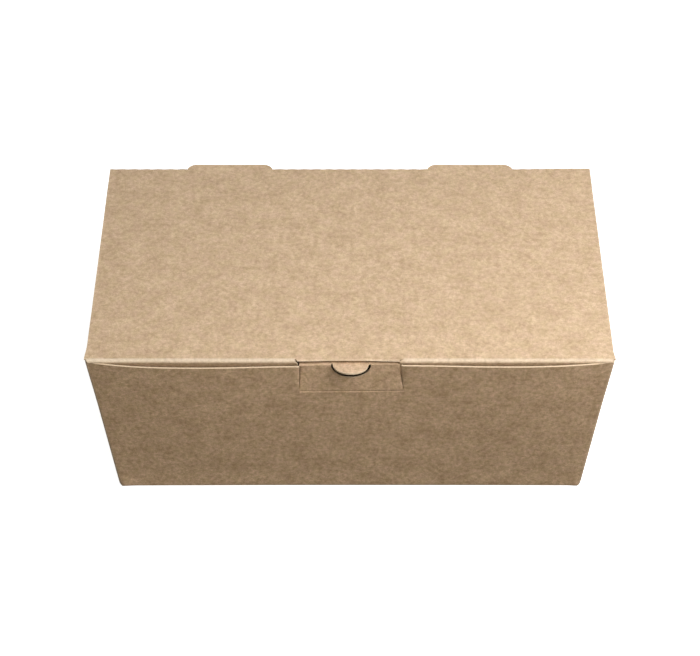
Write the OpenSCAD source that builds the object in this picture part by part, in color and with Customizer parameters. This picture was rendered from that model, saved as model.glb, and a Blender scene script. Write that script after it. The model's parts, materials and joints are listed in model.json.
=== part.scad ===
// Folding carton of brown kraft board: a tapered tray, a hinged lid with a tuck flap, and a lock tongue.
// Millimetres, +X along the length, +Y to the rear crease, +Z up. The origin is the middle of the base.

/* [Box] */
// Length of the lid, side to side
lid_l = 150; // [130:1:190]
// Width of the lid, front fold to rear crease
lid_w = 90; // [75:1:120]
// Height of the closed box
box_h = 56; // [45:1:80]
// How far each wall leans in from the lid down to the base
wall_inset = 5.7; // [4:0.1:8]
// How far the lid stands out past the front wall
lid_over = 0.2; // [0.1:0.05:0.4]
// How far the lid stands out past a side wall
side_over = 0.05; // [0:0.05:0.4]

/* [Board] */
// Thickness of the board
board_t = 0.45; // [0.3:0.05:0.6]
// Inside radius of a fold
fold_in = 0.35; // [0.25:0.05:0.5]
// Extra radius of the tray's corners where they meet the base
corner_extra = 0.1; // [0.1:0.1:1]
// Running gap between the lid's rear fold and the top edge of the walls
hinge_gap = 0.1; // [0.05:0.05:0.2]
// Width of a die-cut line
cut_gap = 0.2; // [0.15:0.05:0.3]

/* [Front wall] */
// Outward bow of the top edge, left of the tongue
bow_left = 2.5; // [2.3:0.1:3]
// Outward bow of the top edge, right of the tongue
bow_right = 2.05; // [2:0.05:3]
// Bow left over at the tongue's left cut
bow_cut_left = 1.9; // [1.5:0.1:2.5]
// Bow left over at the tongue's right cut
bow_cut_right = 1.42; // [1.3:0.01:2]
// Distance from a corner to the place that bows most
bow_reach = 31; // [26:1:34]

/* [Lid] */
// Depth of the tuck flap below the lid
flap_d = 15; // [10:0.5:20]
// How much more than the walls the tuck flap leans in, in degrees
flap_tilt = 2.1; // [2:0.1:4]
// Distance from the lid's side edge to the tuck flap's end
flap_end = 7; // [7:0.5:14]
// How far the flap's ends draw in at their lower corners
flap_taper = 3; // [1:0.5:6]
// Radius of the tuck flap's outer corners
flap_corner = 6; // [3:0.5:7]
// Gap between the tongue's fold and each ear of the tuck flap
ear_gap = 0.5; // [0.3:0.1:1.5]
// Extra half length of the lid where the front crease spreads it
lid_flare = 0.4; // [0.1:0.1:0.6]
// Length over which the lid spreads
flare_l = 5; // [3:0.5:10]
// How far the slit edge lies behind the front fold
slit_back = 0.1; // [0:0.05:0.3]
// Length of the slanted cut at each end of the slit edge
slit_slant = 0.9; // [0.5:0.1:1.5]

/* [Rear tabs] */
// Distance of each tab's middle from the box's middle
tab_x = 37.5; // [30:0.5:44]
// Width of a tab at the crease
tab_w = 26.4; // [16:0.2:30]
// Width of a tab at its free end
tab_end_w = 23.6; // [12:0.2:24]
// How far a tab sticks out behind the crease
tab_d = 1.85; // [1.6:0.05:4]
// Radius of a tab's corners
tab_corner = 1.2; // [0.6:0.1:1.5]

/* [Tongue] */
// Height of the tongue from its crease to its fold
tongue_h = 10.4; // [9:0.1:15]
// Distance from the box's middle to the tongue's left edge
tongue_left = 14.35; // [12:0.05:16]
// Distance from the box's middle to the foot of its right edge
tongue_right = 15.3; // [13:0.05:17]
// How far the right edge draws in up to the fold
tongue_taper = 0.9; // [0.2:0.05:1.5]
// Outward lean of the tongue, in degrees
tongue_lean = 1; // [0:0.5:2]
// Gap between the tongue's fold and the lid
tongue_gap = 0.9; // [0.7:0.05:1.2]
// Length of the lock lip that goes in under the lid
lip_l = 4; // [3:0.1:4.8]
// Slope of the lock lip and the thumb tab, in degrees
lip_slope = 2; // [1:0.5:10]
// Size of the slanted corners of the lock lip
lip_corner = 2; // [1:0.1:2.8]
// Radius of the half-round thumb tab
thumb_r = 5.2; // [4:0.1:6.5]
// Distance of the thumb tab's middle from the box's middle
thumb_x = 0.5; // [-1:0.1:1]

/* [Glue flaps] */
// Length of a glue flap along the side wall
glue_l = 20; // [14:0.5:26]
// How far a glue flap's free end slants back at its top
glue_slant = 6; // [3:0.5:9]
// Distance of a glue flap from the base and from the wall's top edge
glue_margin = 2; // [1.5:0.1:4]
// Radius of a glue flap's free corners
glue_corner = 2; // [1:0.5:4]

/* [Hidden] */
kraft = [0.80, 0.68, 0.54];
kraft_shade = [0.70, 0.58, 0.44];

fold_out = fold_in + board_t;
wall_lean = atan(wall_inset / box_h);
// The lid's rear fold turns inside this radius, and the wall's top edge stays below it
hinge_r = norm([fold_out, board_t]);
wall_top = box_h - hinge_r - hinge_gap;
lid_under = box_h - board_t;
front_steps = 36;
corner_steps = 4;
fold_steps = 4;

// Half sizes of the tray's outer faces at height z
function inset_at(z) = wall_inset * (box_h - z) / box_h;
function half_l(z) = lid_l / 2 - side_over - inset_at(z);
function front_y(z) = lid_w / 2 - lid_over - inset_at(z);
function rear_y(z) = lid_w / 2 - inset_at(z);

// Outward bow of the front wall's top edge at a distance x from the middle
bow_peak_x = lid_l / 2 - bow_reach;
function side_bow(u, cut_x, most, at_cut) = u > bow_peak_x
    ? most * (1 - pow((u - bow_peak_x) / bow_reach, 2.5))
    : at_cut + (most - at_cut) * (1 - cos(180 * (u - cut_x) / (bow_peak_x - cut_x))) / 2;
function mid_bow(x) = bow_cut_left
    + (bow_cut_right - bow_cut_left) * (x + tongue_left) / (tongue_left + tongue_right);
function top_bow(x) = x < -tongue_left ? side_bow(-x, tongue_left, bow_left, bow_cut_left)
    : x > tongue_right ? side_bow(x, tongue_right, bow_right, bow_cut_right)
    : mid_bow(x);
function bow_at(x, z) = top_bow(x) * z / wall_top;

// Points of an arc round c, from angle a0 to angle a1
function arc(c, r, a0, a1, steps) = [
    for (i = [0 : steps]) let (a = a0 + (a1 - a0) * i / steps) c + r * [cos(a), sin(a)]
];

// One loop of the tray at height z, drawn in by d, anticlockwise from the front left corner
function tray_loop(z, d, r) = let (
        hx = half_l(z) - d,
        fy = front_y(z) - d,
        ry = rear_y(z) - d,
        front = [
            for (i = [0 : front_steps - 1])
                let (u = 2 * i / front_steps - 1, x = u * (hx - r))
                [x, -fy - bow_at(u * lid_l / 2, z)]
        ],
        corners = concat(
            arc([hx - r, r - fy], r, -90, 0, corner_steps),
            arc([hx - r, ry - r], r, 0, 90, corner_steps),
            arc([r - hx, ry - r], r, 90, 180, corner_steps),
            [for (p = arc([r - hx, r - fy], r, 180, 270, corner_steps)) if (p[1] > -fy + r / 1000) p]
        )
    ) [for (p = concat(front, corners)) [p[0], p[1], z]];

// Loops of the tray from the outer base edge up, over the top edge and down to the inner base edge
function corner_r(z) = fold_out + corner_extra * (1 - z / wall_top);
function bend_loops(r, d, z0) = [
    for (i = [0 : fold_steps]) let (
            a = 90 * i / fold_steps,
            z = z0 + r * (1 - cos(a)),
            draw = r * (1 - sin(a))
        ) tray_loop(z, d + draw, max(corner_r(z) - d - draw, fold_in / 2))
];
function reversed(list) = [for (i = [len(list) - 1 : -1 : 0]) list[i]];
tray_loops = concat(
    bend_loops(fold_out, 0, 0),
    [tray_loop(wall_top, 0, fold_out), tray_loop(wall_top, board_t, fold_in)],
    reversed(bend_loops(fold_in, board_t, board_t))
);

// Closed shell through loops with equal numbers of points, each end closed by a fan round its middle
module shell(loops) {
    n = len(loops[0]);
    rows = len(loops);
    last = rows - 1;
    ends = [[0, 0, loops[0][0][2]], [0, 0, loops[last][0][2]]];
    points = concat([for (loop = loops) each loop], ends);
    sides = [
        for (j = [0 : rows - 2], i = [0 : n - 1])
            let (a = j * n + i, b = j * n + (i + 1) % n, c = b + n, d = a + n)
            each [[a, d, c], [a, c, b]]
    ];
    fans = [
        for (i = [0 : n - 1])
            each [
                [i, (i + 1) % n, rows * n],
                [last * n + (i + 1) % n, last * n + i, rows * n + 1]
            ]
    ];
    polyhedron(points = points, faces = concat(sides, fans));
}

// Section drawn in (y, z) and run along X from x0 to x1
module run_x(x0, x1) {
    translate([x0, 0, 0]) rotate([90, 0, 90]) linear_extrude(x1 - x0) children();
}

// Outline drawn in (x, z) and run along Y from y0 to y1
module run_y(y0, y1) {
    translate([0, y1, 0]) rotate([90, 0, 0]) linear_extrude(y1 - y0) children();
}

// Glue flap on the inside of the right side wall, from the front corner
module glue_flap() {
    low = board_t + glue_margin;
    high = wall_top - glue_margin;
    seat = board_t / 2;
    translate([half_l(0) - board_t, 0, 0])
        rotate([0, wall_lean, 0])
        run_x(-board_t, seat)
        hull() {
            polygon([
                [seat - front_y(low), low],
                [glue_l - glue_corner - front_y(low), low],
                [seat - front_y(high), high]
            ]);
            translate([glue_l - glue_corner - front_y(low), low + glue_corner])
                circle(glue_corner, $fn = 16);
            translate([glue_l - glue_slant - glue_corner - front_y(high), high - glue_corner])
                circle(glue_corner, $fn = 16);
        }
}

// The same flap from the rear corner
module rear_glue_flap() {
    translate([0, rear_y(0) - front_y(0), 0]) mirror([0, 1, 0]) glue_flap();
}

// Outline of a rear tab past the crease, grown by g; it reaches back inside the crease by b
module tab_outline(g, b) {
    foot = tab_w / 2 + g;
    end = tab_end_w / 2 + g;
    reach = tab_d + g;
    slant = atan2(foot - end, reach);
    polygon(concat(
        [[foot, -b], [foot, 0]],
        arc([end - tab_corner, reach - tab_corner], tab_corner, slant, 90, fold_steps),
        arc([tab_corner - end, reach - tab_corner], tab_corner, 90, 180 - slant, fold_steps),
        [[-foot, 0], [-foot, -b]]
    ));
}

// Die-cut opening of the tongue in the front wall
tongue_top = lid_under - tongue_gap;
crease_z = tongue_top - tongue_h;
crease_y = -(front_y(crease_z) + bow_at((tongue_right - tongue_left) / 2, crease_z));
module tongue_opening() {
    run_y(crease_y - 2 * bow_left, crease_y + 2 * bow_left)
        polygon([
            [-tongue_left - cut_gap, crease_z - cut_gap / 2],
            [tongue_right + cut_gap, crease_z - cut_gap / 2],
            [tongue_right + cut_gap, box_h],
            [-tongue_left - cut_gap, box_h]
        ]);
}

module tray() {
    color(kraft_shade)
    difference() {
        union() {
            shell(tray_loops);
            for (side = [0, 1]) mirror([side, 0, 0]) {
                glue_flap();
                rear_glue_flap();
            }
        }
        tongue_opening();
        for (x = [-tab_x, tab_x])
            translate([x, 0, box_h])
                mirror([0, 0, 1])
                run_y(rear_y(wall_top) - 4 * board_t, rear_y(box_h) + board_t)
                tab_outline(cut_gap, board_t);
    }
}

// Lid panel with its slit edge at the front and its two tabs at the rear
front_y0 = -lid_w / 2;
rear_y0 = lid_w / 2;
slit_l = -tongue_left;
slit_r = tongue_right - tongue_taper;
module lid_panel() {
    half = lid_l / 2;
    edge = front_y0 + fold_out;
    translate([0, 0, lid_under]) linear_extrude(board_t) {
        polygon([
            [-half - lid_flare, edge],
            [half + lid_flare, edge],
            [half, edge + flare_l],
            [half, rear_y0 - fold_out],
            [-half, rear_y0 - fold_out],
            [-half, edge + flare_l]
        ]);
        polygon([
            [slit_l - slit_slant / 2, edge + board_t],
            [slit_l, front_y0 + slit_back],
            [slit_r, front_y0 + slit_back],
            [slit_r + slit_slant / 2, edge + board_t]
        ]);
        for (x = [-tab_x, tab_x]) translate([x, rear_y0]) tab_outline(0, 2 * fold_out);
    }
}

// Section of a fold that turns down by an angle, starting level at the top of c
function fold_section(c, turn, dir) = concat(
    [for (p = arc([0, 0], fold_out, 90, 90 - turn, fold_steps)) c + [dir * p[0], p[1]]],
    [for (p = arc([0, 0], fold_in, 90 - turn, 90, fold_steps)) c + [dir * p[0], p[1]]]
);

// Front fold of the lid and the tuck flap below it, as one section
flap_lean = wall_lean + flap_tilt;
front_c = [front_y0 + fold_out, box_h - fold_out];
flap_run = flap_d - fold_out;
function flap_end_of(r) = front_c + r * [-cos(flap_lean), -sin(flap_lean)]
    + flap_run * [sin(flap_lean), -cos(flap_lean)];
function ear_section() = concat(
    [for (p = arc([0, 0], fold_out, 90, 180 + flap_lean, fold_steps)) front_c + p],
    [flap_end_of(fold_out), flap_end_of(fold_in)],
    [for (p = arc([0, 0], fold_in, 180 + flap_lean, 90, fold_steps)) front_c + p]
);

// One ear of the tuck flap, from x0 beside the tongue to its outer end
module ear(x0) {
    x1 = lid_l / 2 - flap_end;
    low = box_h - flap_d;
    intersection() {
        run_x(x0, x1) polygon(ear_section());
        run_y(front_y0 - board_t, front_y0 + flap_d)
            polygon(concat(
                [[x0 - 1, box_h + 1], [x0 - 1, low - 1]],
                arc([x1 - flap_taper - flap_corner, low + flap_corner], flap_corner, -90, 0, fold_steps),
                [[x1, box_h - fold_out], [x1, box_h + 1]]
            ));
    }
}

module lid() {
    half = lid_l / 2;
    color(kraft) union() {
        lid_panel();
        // Rear fold, between and beside the tabs
        for (span = [
            [-half, -tab_x - tab_w / 2],
            [tab_w / 2 - tab_x, tab_x - tab_w / 2],
            [tab_x + tab_w / 2, half]
        ])
            run_x(span[0], span[1])
                polygon(fold_section([rear_y0 - fold_out, box_h - fold_out], 90, 1));
        // Front fold, broken by the slit
        for (span = [
            [-half - lid_flare, slit_l - slit_slant],
            [slit_r + slit_slant, half + lid_flare]
        ])
            run_x(span[0], span[1]) polygon(fold_section(front_c, 90, -1));
        ear(slit_r + ear_gap);
        mirror([1, 0, 0]) ear(tongue_left + ear_gap);
    }
}

// Section of the tongue from its crease: the strip, the fold and the lock lip
fold_c = [fold_out, tongue_h - fold_out];
lip_turn = 90 + lip_slope;
lip_run = lip_l - fold_out;
function lip_end_of(r) = fold_c + r * [sin(lip_slope), cos(lip_slope)]
    + lip_run * [cos(lip_slope), -sin(lip_slope)];
function tongue_section() = concat(
    [[0, 0]],
    [for (p = arc([0, 0], fold_out, 180, 180 - lip_turn, fold_steps)) fold_c + p],
    [lip_end_of(fold_out), lip_end_of(fold_in)],
    [for (p = arc([0, 0], fold_in, 180 - lip_turn, 180, fold_steps)) fold_c + p],
    [[board_t, 0]]
);

// Plan outline of the lock lip, with its slanted corners
module lip_outline() {
    right = tongue_right - tongue_taper;
    polygon([
        [-tongue_left, -board_t],
        [tongue_right, -board_t],
        [right, lip_l - lip_corner],
        [right - lip_corner, lip_l + board_t],
        [lip_corner - tongue_left, lip_l + board_t],
        [-tongue_left, lip_l - lip_corner]
    ]);
}

// The tongue in a frame of its own: crease along X at the origin, outer face at y = 0
module tongue_flat() {
    difference() {
        intersection() {
            run_x(-tongue_left, tongue_right) polygon(tongue_section());
            run_y(-board_t, lip_l + board_t)
                polygon([
                    [-tongue_left, 0],
                    [tongue_right, 0],
                    [tongue_right - tongue_taper, tongue_h + board_t],
                    [-tongue_left, tongue_h + board_t]
                ]);
            linear_extrude(tongue_h + board_t) lip_outline();
        }
        // Hole that the thumb tab leaves below the fold
        translate([thumb_x, fold_out, tongue_h])
            rotate([90, 0, 0])
            cylinder(h = 2 * fold_out, r = thumb_r + cut_gap / 2, $fn = 64);
    }
    // Thumb tab, level with the lock lip
    translate([thumb_x, fold_c[0], fold_c[1]])
        rotate([-lip_slope, 0, 0])
        translate([0, 0, fold_in])
        difference() {
            translate([0, -fold_out, 0]) cylinder(h = board_t, r = thumb_r, $fn = 64);
            translate([-2 * thumb_r, fold_out, -board_t]) cube([4 * thumb_r, 2 * thumb_r, 3 * board_t]);
        }
}

module tongue() {
    color(kraft) translate([0, crease_y, crease_z]) rotate([tongue_lean, 0, 0]) tongue_flat();
}

tray();
lid();
tongue();
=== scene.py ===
import json
import math

import bpy
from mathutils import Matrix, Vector, noise


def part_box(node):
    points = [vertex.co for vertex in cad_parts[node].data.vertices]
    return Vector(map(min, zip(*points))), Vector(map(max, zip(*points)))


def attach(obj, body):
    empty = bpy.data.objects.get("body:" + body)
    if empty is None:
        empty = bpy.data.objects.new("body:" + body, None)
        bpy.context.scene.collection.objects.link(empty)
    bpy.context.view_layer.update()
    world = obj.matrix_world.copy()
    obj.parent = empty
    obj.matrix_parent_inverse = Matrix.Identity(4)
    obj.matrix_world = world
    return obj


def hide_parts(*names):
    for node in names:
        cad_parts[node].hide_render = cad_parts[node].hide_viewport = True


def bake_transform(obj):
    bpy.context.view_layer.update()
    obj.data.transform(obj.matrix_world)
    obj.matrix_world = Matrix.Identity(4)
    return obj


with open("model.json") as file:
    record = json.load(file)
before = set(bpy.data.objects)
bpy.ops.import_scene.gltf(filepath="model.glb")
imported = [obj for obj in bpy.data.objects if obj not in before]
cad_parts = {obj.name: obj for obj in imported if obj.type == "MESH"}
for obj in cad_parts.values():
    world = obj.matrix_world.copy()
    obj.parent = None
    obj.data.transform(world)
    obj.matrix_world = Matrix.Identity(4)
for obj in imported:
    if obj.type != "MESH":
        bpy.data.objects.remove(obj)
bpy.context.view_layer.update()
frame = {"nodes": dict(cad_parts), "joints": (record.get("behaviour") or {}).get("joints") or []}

MM = 0.001


def smooth(t):
    """From 0 to 1 as t does, level at both ends."""
    t = min(max(t, 0.0), 1.0)
    return t * t * (3 - 2 * t)


def ease(v, start, run):
    """Rises from 0 to 1 as v goes from start on over the run."""
    return smooth((v - start) / run)


def mix(a, b, t):
    return a + (b - a) * t


def steps(a, b, n):
    return [mix(a, b, i / n) for i in range(n + 1)]


def stations(keys, spacing):
    """Sorted stops from the first key to the last, through every key, no further apart than spacing."""
    keys = sorted(keys)
    out = [keys[0]]
    for a, b in zip(keys, keys[1:]):
        if b - a > 1e-6:
            n = max(1, math.ceil((b - a) / spacing))
            out += [mix(a, b, (i + 1) / n) for i in range(n)]
    return out


def ripple(x, y, scale, seed=0.0):
    """Smooth noise from -1 to 1, for the uneven lie of the board."""
    return noise.noise(Vector((x / scale, y / scale, seed)))


def nearness(off):
    """1 at a cut, falling to 0 at a short reach from it."""
    return 1 - min(abs(off) / CUT_REACH, 1)


# Sizes in millimetres. The frame gives the large ones, and the rest are those of the folded board.
joints = {j["name"]: j for j in frame["joints"]}
hinge_y, box_h = (v / MM for v in joints["lid_hinge"]["pos_m"][1:])
crease_y, crease_z = (v / MM for v in joints["tongue_hinge"]["pos_m"][1:])
lid_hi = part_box("lid")[1] / MM
tray_lo, tray_hi = (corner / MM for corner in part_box("tray"))
wall_top = tray_hi.z

CUT_REACH = 3.0
BOARD_T = 0.45
FOLD_IN = 0.35
FOLD_OUT = FOLD_IN + BOARD_T
LID_OVER = 0.2
LID_FLARE = 0.4
FLARE_LEFT = 6.0
FLARE_RIGHT = 3.0
CORNER_EXTRA = 0.1
SIDE_OUT = 0.06
WALL_FLARE = 0.2
WALL_FLARE_RUN = (35, 20)
lid_half = lid_hi.x - LID_FLARE
tab_d = lid_hi.y - hinge_y
base_y = max(v.co.y for v in frame["nodes"]["tray"].data.vertices if v.co.z < 1e-5) / MM
wall_inset = hinge_y - base_y - FOLD_OUT
wall_lean = math.atan(wall_inset / box_h)


def inset_at(z):
    return wall_inset * (box_h - z) / box_h


def half_l(z):
    return lid_half + SIDE_OUT + WALL_FLARE * ease(z, *WALL_FLARE_RUN) - inset_at(z)


def front_y(z):
    return hinge_y - LID_OVER - inset_at(z)


def rear_y(z):
    return hinge_y - inset_at(z)


# The tongue's two edges, the opening cut round it and the bevel pressed along the cut
TONGUE_LEFT = 14.4
TONGUE_RIGHT = 15.28
TONGUE_TAPER = 1.15
OPENING_LEAN = (0.2, -0.75)
OPENING_LEAN_REACH = 8
BEVEL = 0.4
BEVEL_DEPTH = 0.16
CUT_GAP = 0.2
CREASED_GAP = 0.08

# Bow of the front wall's top edge, at its two peaks and beside the tongue
BOW_RIGHT = 2.05
BOW_CUT_LEFT = 1.9
BOW_CUT_RIGHT = 1.42
BOW_REACH = 31.0
BOW_POWER = 2.5
bow_left = -tray_lo.y - front_y(wall_top)
bow_peak = lid_half - BOW_REACH


def side_bow(u, cut, most, at_cut):
    """How far out the top edge is at a distance u from the middle, on one side of the tongue's cut."""
    if u > bow_peak:
        return most * (1 - ((u - bow_peak) / BOW_REACH) ** BOW_POWER)
    return at_cut + (most - at_cut) * (1 - math.cos(math.pi * (u - cut) / (bow_peak - cut))) / 2


def top_bow(x):
    """How far the front wall's top edge is bowed out at x."""
    if x < -TONGUE_LEFT:
        return side_bow(-x, TONGUE_LEFT, bow_left, BOW_CUT_LEFT)
    if x > TONGUE_RIGHT:
        return side_bow(x, TONGUE_RIGHT, BOW_RIGHT, BOW_CUT_RIGHT)
    share = (x + TONGUE_LEFT) / (TONGUE_LEFT + TONGUE_RIGHT)
    return BOW_CUT_LEFT + (BOW_CUT_RIGHT - BOW_CUT_LEFT) * share


WELD = 500
SHARP = math.radians(50)


class Sheet:
    """The outer face of a folded piece of board, in millimetres, with each point's place on the flat blank.

    A point's wear is above zero where the board is paler from wear and where a highlight is painted on it,
    and below zero where shade is painted on it.
    """

    def __init__(self):
        self.points, self.blank, self.worn, self.faces = [], [], [], []
        self.found = {}

    def point(self, place, blank, worn):
        """The point's number; points in the same place are one."""
        key = tuple(round(c * WELD) for c in place)
        if key not in self.found:
            self.found[key] = len(self.points)
            self.points.append(Vector(place))
            self.blank.append(blank)
            self.worn.append(worn)
        return self.found[key]

    def grid(self, columns, rows, where, keep=None):
        """Faces between columns and rows; where(column, row) is a point, its blank place, and its wear and
        painted light.
        """
        ids = [[self.point(*where(c, r)) for r in rows] for c in columns]
        for i in range(len(columns) - 1):
            for j in range(len(rows) - 1):
                if keep and not keep(i, j):
                    continue
                face = []
                for k in (ids[i][j], ids[i + 1][j], ids[i + 1][j + 1], ids[i][j + 1]):
                    if k not in face:
                        face.append(k)
                if len(face) > 2:
                    self.faces.append(face)

    def solid(self, name, thickness=BOARD_T):
        """A closed piece of board: its outer face, the same face a thickness in, and the cut edges."""
        outer = bpy.data.meshes.new("outer")
        outer.from_pydata([p * MM for p in self.points], [], self.faces)
        outer.update()
        normals = [v.normal.copy() for v in outer.vertices]
        used = sorted({k for f in self.faces for k in f})
        new = {k: i for i, k in enumerate(used)}
        n = len(used)
        points = [self.points[k] * MM for k in used]
        points += [(self.points[k] - normals[k] * thickness) * MM for k in used]
        faces = [[new[k] for k in f] for f in self.faces]
        edge_count = {}
        for f in faces:
            for a, b in zip(f, f[1:] + f[:1]):
                edge_count[(a, b)] = edge_count.get((a, b), 0) + 1
        rims = [[b, a, a + n, b + n] for a, b in edge_count if (b, a) not in edge_count]
        inner = [[k + n for k in reversed(f)] for f in faces]
        bpy.data.meshes.remove(outer)
        mesh = bpy.data.meshes.new(name)
        mesh.from_pydata(points, [], faces + inner + rims)
        mesh.update()
        worn = mesh.attributes.new("worn", "FLOAT", "POINT")
        worn.data.foreach_set("value", [self.worn[k] for k in used] * 2)
        layer = mesh.uv_layers.new(name="blank")
        flat = [self.blank[k] for k in used] * 2
        for loop in mesh.loops:
            layer.data[loop.index].uv = Vector(flat[loop.vertex_index]) * MM
        mesh.polygons.foreach_set("use_smooth", [True] * len(mesh.polygons))
        first_rim = len(faces) + len(inner)
        for poly in mesh.polygons[first_rim:]:
            poly.material_index = 1
        mesh.set_sharp_from_angle(angle=SHARP)
        piece = bpy.data.objects.new(name, mesh)
        bpy.context.scene.collection.objects.link(piece)
        return piece


# Node materials

GRAIN = (0.74, 0.68)
FIBRE = (0.8, 2.6)
LID_KRAFT = (0.543, 0.391, 0.254)
TRAY_KRAFT = (0.55, 0.378, 0.241)
HUE_COOL = (0.988, 1.007, 0.972)
HUE_WARM = (1.010, 0.995, 1.036)
# Pale colour for folds paler from wear and for painted highlights; dark colour for painted shade
PALE_WEAR_AND_HIGHLIGHT = (0.80, 0.70, 0.57, 1.0)
PAINTED_SHADE_COLOUR = (0.26, 0.17, 0.10, 1.0)
PAINTED_SHADE_SHARE = -0.5
EDGE_DARK = (0.54, 0.405, 0.27)
EDGE_PALE = (0.72, 0.58, 0.42)
LOW, HIGH = 0.34, 0.66


def grey(v):
    return (v, v, v)


class Graph:
    """A node tree, with short ways to add to it."""

    def __init__(self, tree):
        self.nodes, self.links = tree.nodes, tree.links

    def node(self, kind, inputs, **settings):
        """A node with its settings, and with its inputs linked or set."""
        node = self.nodes.new("ShaderNode" + kind)
        for key, setting in settings.items():
            setattr(node, key, setting)
        for key, source in inputs.items():
            if isinstance(source, bpy.types.NodeSocket):
                self.links.new(source, node.inputs[key])
            else:
                node.inputs[key].default_value = source
        return node

    def ramp(self, source, stops):
        """Colours along the source's value, with a stop at each place."""
        node = self.node("ValToRGB", {"Fac": source})
        elements = node.color_ramp.elements
        while len(elements) < len(stops):
            elements.new(0.5)
        for element, (place, colour) in zip(elements, stops):
            element.position = place
            element.color = (*colour, 1.0)
        return node.outputs["Color"]

    def mixed(self, kind, factor, a, b):
        """Colour b over colour a, in the way and by the factor given."""
        inputs = {0: factor, 6: a, 7: b}
        return self.node("Mix", inputs, data_type="RGBA", blend_type=kind).outputs[2]

    def product(self, a, b):
        return self.node("Math", {0: a, 1: b}, operation="MULTIPLY").outputs[0]

    def spread(self, source, low, high, to_low, to_high):
        """The source's value, spread from one range to another."""
        inputs = {"Value": source, "From Min": low, "From Max": high, "To Min": to_low, "To Max": to_high}
        return self.node("MapRange", inputs).outputs["Result"]

    def on_board(self, stretch, turn=0.0):
        """Place on the blank in millimetres, turned and stretched along the grain."""
        blank = self.node("UVMap", {}, uv_map="blank").outputs["UV"]
        scale = (stretch[0] / MM, stretch[1] / MM, 1)
        inputs = {"Vector": blank, "Rotation": (0, 0, turn), "Scale": scale}
        return self.node("Mapping", inputs).outputs["Vector"]

    def noise(self, place, scale, detail, rough, distort=0.0, seed=0.0):
        if seed:
            place = self.node("VectorMath", {0: place, 1: (seed, seed, seed)}).outputs[0]
        inputs = {"Vector": place, "Scale": scale, "Detail": detail, "Roughness": rough}
        inputs["Distortion"] = distort
        return self.node("TexNoise", inputs, noise_dimensions="3D").outputs["Fac"]

    def bump(self, height, strength, distance):
        inputs = {"Height": height, "Strength": strength, "Distance": distance * MM}
        return self.node("Bump", inputs).outputs["Normal"]


def bare_material(name):
    """A new material with only a shader, its graph, and that shader's inputs."""
    material = bpy.data.materials.new(name)
    material.use_nodes = True
    graph = Graph(material.node_tree)
    graph.nodes.clear()
    shader = graph.node("BsdfPrincipled", {})
    graph.node("OutputMaterial", {"Surface": shader.outputs["BSDF"]})
    return material, graph, shader.inputs


def kraft_material(name, kraft, contrast):
    """Brown kraft board: cloudy pulp, a grain along the blank, short fibres, folds paler from wear, painted
    highlights and painted shade.
    """
    material, graph, surface = bare_material(name)
    grain = graph.on_board(GRAIN)
    clouds = graph.noise(grain, scale=0.22, detail=3.0, rough=0.55)
    mottle = graph.noise(grain, scale=1.0, detail=4.0, rough=0.68, distort=0.2, seed=3.1)
    fibre_a = graph.noise(graph.on_board(FIBRE, 0.25), scale=1.0, detail=3.0, rough=0.6)
    fibre_b = graph.noise(graph.on_board(FIBRE, -0.4), scale=1.0, detail=3.0, rough=0.6, seed=7.7)
    grit = graph.noise(grain, scale=4.2, detail=1.0, rough=0.5, seed=41.0)
    hue = graph.noise(grain, scale=0.45, detail=2.0, rough=0.5, seed=31.0)

    def stronger(tint):
        return tuple(1 + (c - 1) * contrast for c in tint)

    colour = (*kraft, 1.0)
    for source, dark, pale in (
        (mottle, (0.84, 0.82, 0.79), (1.15, 1.17, 1.20)),
        (clouds, (0.925, 0.915, 0.90), (1.065, 1.075, 1.09)),
        (fibre_a, grey(0.95), grey(1.045)),
        (fibre_b, grey(0.95), grey(1.045)),
        (grit, grey(0.92), grey(1.08)),
    ):
        tint = graph.ramp(source, [(LOW, stronger(dark)), (HIGH, stronger(pale))])
        colour = graph.mixed("MULTIPLY", 1.0, colour, tint)
    hue_tint = graph.ramp(hue, [(LOW, HUE_COOL), (HIGH, HUE_WARM)])
    colour = graph.mixed("MULTIPLY", 1.0, colour, hue_tint)

    # Sparse dark and pale fibres
    for stretch, turn, seed, low, tint in (
        ((0.9, 2.2), 0.6, 11.0, 0.67, (0.36, 0.24, 0.14)),
        ((0.9, 2.2), -0.9, 17.0, 0.68, (0.38, 0.26, 0.15)),
        ((0.9, 2.4), 0.1, 23.0, 0.68, (0.72, 0.54, 0.36)),
    ):
        fleck = graph.noise(graph.on_board(stretch, turn), scale=1.0, detail=2.0, rough=0.5, seed=seed)
        mask = graph.ramp(fleck, [(low, grey(0.0)), (low + 0.05, grey(0.55))])
        colour = graph.mixed("MIX", mask, colour, (*tint, 1.0))

    # Folds paler from wear, painted highlights, and painted shade where the wear is below zero
    worn = graph.node("Attribute", {}, attribute_name="worn").outputs["Fac"]
    rubbed_and_highlit = graph.product(worn, graph.spread(mottle, 0.3, 0.7, 0.36, 0.60))
    colour = graph.mixed("MIX", rubbed_and_highlit, colour, PALE_WEAR_AND_HIGHLIGHT)
    colour = graph.mixed("MIX", graph.product(worn, PAINTED_SHADE_SHARE), colour, PAINTED_SHADE_COLOUR)
    graph.links.new(colour, surface["Base Color"])

    graph.links.new(graph.spread(mottle, 0.3, 0.7, 0.50, 0.62), surface["Roughness"])
    surface["IOR"].default_value = 1.46
    surface["Specular IOR Level"].default_value = 0.5
    relief = graph.node("Math", {0: fibre_a, 1: mottle}, operation="ADD").outputs[0]
    graph.links.new(graph.bump(relief, 0.8, 0.06), surface["Normal"])
    return material


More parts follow.
